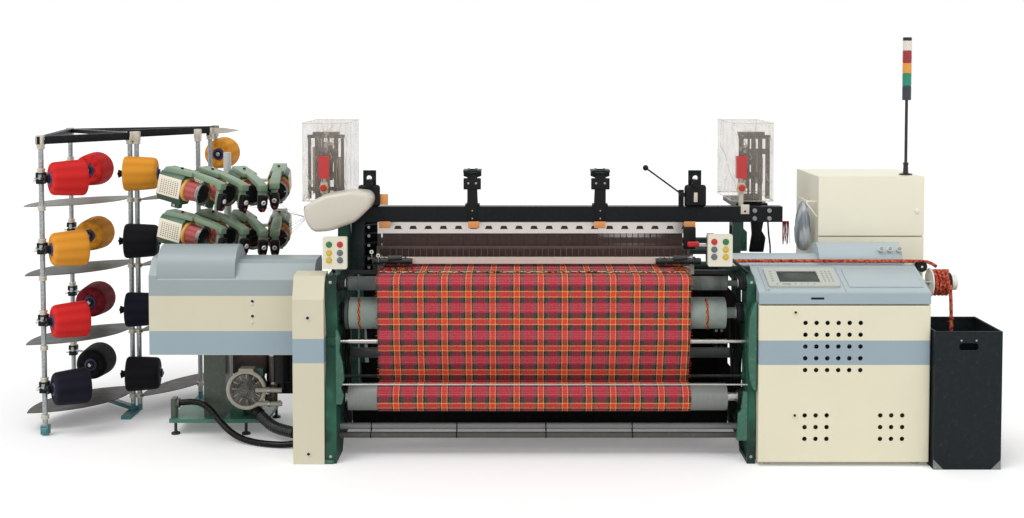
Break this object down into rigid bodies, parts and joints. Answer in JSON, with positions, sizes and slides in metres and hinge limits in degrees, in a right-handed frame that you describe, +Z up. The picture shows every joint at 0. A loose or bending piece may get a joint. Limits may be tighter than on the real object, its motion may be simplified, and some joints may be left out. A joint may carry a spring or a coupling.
{
  "type": "rapier power loom",
  "caption": "Wide rapier weaving machine with tartan cloth, weft creel, feeders, control cabinets, signal tower and waste bin.",
  "frame": {"origin": "middle of the machine's footprint, on the floor", "axes": "+X along the machine's width to the control cabinets, +Y from the weaver's side to the back, +Z up"},
  "size_m": [5.63, 2.1, 2.359],
  "materials": {
    "green_casting": "painted casting",
    "cream_paint": "satin powder coat",
    "blue_grey_paint": "satin paint",
    "black_paint": "satin paint",
    "zinc_tube": "zinc plated",
    "sheet_grey": "matt",
    "bright_steel": "ground",
    "emery_roller": "grit covered",
    "tartan_cloth": "woven wool",
    "warp_yarn": "fine yarn",
    "wound_yarn": "wound yarn",
    "waste_yarn": "twisted selvedge yarn",
    "clear_plastic": "clear sheet",
    "beige_plastic": "moulded",
    "feeder_green": "painted casting",
    "black_plastic": "moulded",
    "black_rubber": "smooth",
    "red_plastic": "gloss",
    "green_plastic": "gloss",
    "yellow_plastic": "gloss",
    "lamp_plastic": "gloss lenses",
    "aluminium_rail": "anodised",
    "bag_cloth": "translucent cloth"
  },
  "bodies": {
    "root": {"left_side_frame": "green_casting", "right_side_frame": "green_casting", "cross_members": "bright_steel", "top_beam": "black_paint", "left_housing_cover": "blue_grey_paint", "left_housing_panel": "cream_paint", "left_end_cover": "cream_paint", "control_cabinet": "cream_paint", "console_cover": "blue_grey_paint", "display_panel": "cream_paint", "electrical_cabinet": "cream_paint", "signal_tower": "lamp_plastic", "waste_bin": "black_plastic", "weft_feeders": "feeder_green", "feeder_stand": "green_casting", "creel_frame": "zinc_tube", "creel_plates": "sheet_grey", "yarn_packages": "wound_yarn", "vacuum_unit": "clear_plastic", "floor_hose": "black_rubber", "selvedge_hoods": "clear_plastic", "selvedge_units": "black_paint", "rapier_hood": "beige_plastic", "control_posts": "cream_paint", "cloth": "tartan_cloth", "warp_sheet": "warp_yarn", "waste_rope": "waste_yarn", "temples": "bright_steel", "filter_bag": "bag_cloth"},
    "sley": {"sley": "black_paint", "reed": "bright_steel"},
    "heddle_frame_1": {"heddle_frame_1": "aluminium_rail"},
    "heddle_frame_2": {"heddle_frame_2": "aluminium_rail"},
    "heddle_frame_3": {"heddle_frame_3": "aluminium_rail"},
    "heddle_frame_4": {"heddle_frame_4": "aluminium_rail"},
    "breast_roller": {"breast_roller": "emery_roller"},
    "takeup_roller": {"takeup_roller": "emery_roller"},
    "press_roller": {"press_roller": "bright_steel"},
    "cloth_roll": {"cloth_roll": "tartan_cloth"},
    "warp_beam": {"warp_beam": "warp_yarn"},
    "backrest_roller": {"backrest_roller": "bright_steel"},
    "hand_lever": {"hand_lever": "black_plastic"},
    "waste_drum": {"waste_drum": "waste_yarn"},
    "guide_roller": {"guide_roller": "black_plastic"},
    "cabinet_door": {"cabinet_door": "cream_paint"},
    "electrical_door": {"electrical_door": "cream_paint"},
    "estop_left": {"estop_left": "red_plastic"},
    "estop_right": {"estop_right": "red_plastic"},
    "button_green_left": {"button_green_left": "green_plastic"},
    "button_yellow_left_upper": {"button_yellow_left_upper": "yellow_plastic"},
    "button_yellow_left_lower": {"button_yellow_left_lower": "yellow_plastic"},
    "button_red_left": {"button_red_left": "red_plastic"},
    "button_black_left_upper": {"button_black_left_upper": "black_plastic"},
    "button_black_left_lower": {"button_black_left_lower": "black_plastic"},
    "button_red_right": {"button_red_right": "red_plastic"},
    "button_green_right": {"button_green_right": "green_plastic"},
    "button_black_right_upper": {"button_black_right_upper": "black_plastic"},
    "button_yellow_right_upper": {"button_yellow_right_upper": "yellow_plastic"},
    "button_black_right_lower": {"button_black_right_lower": "black_plastic"},
    "button_yellow_right_lower": {"button_yellow_right_lower": "yellow_plastic"}
  },
  "joints": [
    {"name": "sley_rock", "type": "hinge", "parent": "root", "child": "sley", "pos_m": [0.287, -0.42, 0.5], "axis": [1, 0, 0], "range_deg": [0, 14]},
    {"name": "heddle_frame_1_lift", "type": "slide", "parent": "root", "child": "heddle_frame_1", "axis": [0, 0, 1], "range_m": [-0.035, 0.035]},
    {"name": "heddle_frame_2_lift", "type": "slide", "parent": "root", "child": "heddle_frame_2", "axis": [0, 0, 1], "range_m": [-0.035, 0.035]},
    {"name": "heddle_frame_3_lift", "type": "slide", "parent": "root", "child": "heddle_frame_3", "axis": [0, 0, 1], "range_m": [-0.035, 0.035]},
    {"name": "heddle_frame_4_lift", "type": "slide", "parent": "root", "child": "heddle_frame_4", "axis": [0, 0, 1], "range_m": [-0.035, 0.035]},
    {"name": "takeup_turn", "type": "hinge", "parent": "root", "child": "takeup_roller", "pos_m": [0.307, -0.78, 0.805], "axis": [1, 0, 0], "continuous": true},
    {"name": "breast_turn", "type": "hinge", "parent": "root", "child": "breast_roller", "pos_m": [0.307, -0.85, 0.984], "axis": [1, 0, 0], "continuous": true},
    {"name": "press_turn", "type": "hinge", "parent": "root", "child": "press_roller", "pos_m": [0.307, -0.857, 0.66], "axis": [1, 0, 0], "continuous": true},
    {"name": "cloth_roll_turn", "type": "hinge", "parent": "root", "child": "cloth_roll", "pos_m": [0.307, -0.85, 0.349], "axis": [1, 0, 0], "continuous": true},
    {"name": "warp_beam_turn", "type": "hinge", "parent": "root", "child": "warp_beam", "pos_m": [0.307, 0.5, 0.5], "axis": [1, 0, 0], "continuous": true},
    {"name": "backrest_turn", "type": "hinge", "parent": "root", "child": "backrest_roller", "pos_m": [0.307, 0.57, 0.984], "axis": [1, 0, 0], "continuous": true},
    {"name": "hand_lever_swing", "type": "hinge", "parent": "root", "child": "hand_lever", "pos_m": [1.16, -0.432, 1.435], "axis": [0, 1, 0], "range_deg": [0, 55]},
    {"name": "waste_drum_turn", "type": "hinge", "parent": "root", "child": "waste_drum", "pos_m": [2.581, -0.72, 0.967], "axis": [1, 0, 0], "continuous": true},
    {"name": "guide_roller_turn", "type": "hinge", "parent": "root", "child": "guide_roller", "pos_m": [2.478, -0.7, 1.055], "axis": [0, 1, 0], "continuous": true},
    {"name": "cabinet_door_swing", "type": "hinge", "parent": "root", "child": "cabinet_door", "pos_m": [2.442, -1, 0.455], "axis": [0, 0, 1], "range_deg": [0, 90]},
    {"name": "electrical_door_swing", "type": "hinge", "parent": "root", "child": "electrical_door", "pos_m": [1.966, -0.4, 1.36], "axis": [0, 0, -1], "range_deg": [0, 95]},
    {"name": "estop_left_press", "type": "slide", "parent": "root", "child": "estop_left", "axis": [0, 1, 0], "range_m": [0, 0.005]},
    {"name": "estop_right_press", "type": "slide", "parent": "root", "child": "estop_right", "axis": [0, 1, 0], "range_m": [0, 0.005]},
    {"name": "button_green_left_press", "type": "slide", "parent": "root", "child": "button_green_left", "axis": [0, 1, 0], "range_m": [0, 0.004], "stiffness_N_per_m": 300},
    {"name": "button_yellow_left_upper_press", "type": "slide", "parent": "root", "child": "button_yellow_left_upper", "axis": [0, 1, 0], "range_m": [0, 0.004], "stiffness_N_per_m": 300},
    {"name": "button_yellow_left_lower_press", "type": "slide", "parent": "root", "child": "button_yellow_left_lower", "axis": [0, 1, 0], "range_m": [0, 0.004], "stiffness_N_per_m": 300},
    {"name": "button_red_left_press", "type": "slide", "parent": "root", "child": "button_red_left", "axis": [0, 1, 0], "range_m": [0, 0.004], "stiffness_N_per_m": 300},
    {"name": "button_black_left_upper_press", "type": "slide", "parent": "root", "child": "button_black_left_upper", "axis": [0, 1, 0], "range_m": [0, 0.004], "stiffness_N_per_m": 300},
    {"name": "button_black_left_lower_press", "type": "slide", "parent": "root", "child": "button_black_left_lower", "axis": [0, 1, 0], "range_m": [0, 0.004], "stiffness_N_per_m": 300},
    {"name": "button_red_right_press", "type": "slide", "parent": "root", "child": "button_red_right", "axis": [0, 1, 0], "range_m": [0, 0.004], "stiffness_N_per_m": 300},
    {"name": "button_green_right_press", "type": "slide", "parent": "root", "child": "button_green_right", "axis": [0, 1, 0], "range_m": [0, 0.004], "stiffness_N_per_m": 300},
    {"name": "button_black_right_upper_press", "type": "slide", "parent": "root", "child": "button_black_right_upper", "axis": [0, 1, 0], "range_m": [0, 0.004], "stiffness_N_per_m": 300},
    {"name": "button_yellow_right_upper_press", "type": "slide", "parent": "root", "child": "button_yellow_right_upper", "axis": [0, 1, 0], "range_m": [0, 0.004], "stiffness_N_per_m": 300},
    {"name": "button_black_right_lower_press", "type": "slide", "parent": "root", "child": "button_black_right_lower", "axis": [0, 1, 0], "range_m": [0, 0.004], "stiffness_N_per_m": 300},
    {"name": "button_yellow_right_lower_press", "type": "slide", "parent": "root", "child": "button_yellow_right_lower", "axis": [0, 1, 0], "range_m": [0, 0.004], "stiffness_N_per_m": 300}
  ],
  "couplings": [
    {"joint": "breast_turn", "follows": "takeup_turn", "ratio": 2.2564},
    {"joint": "press_turn", "follows": "takeup_turn", "ratio": 6.5185},
    {"joint": "cloth_roll_turn", "follows": "takeup_turn", "ratio": -1.1139},
    {"joint": "backrest_turn", "follows": "warp_beam_turn", "ratio": 4.6154},
    {"joint": "guide_roller_turn", "follows": "waste_drum_turn", "ratio": 2.2305}
  ]
}
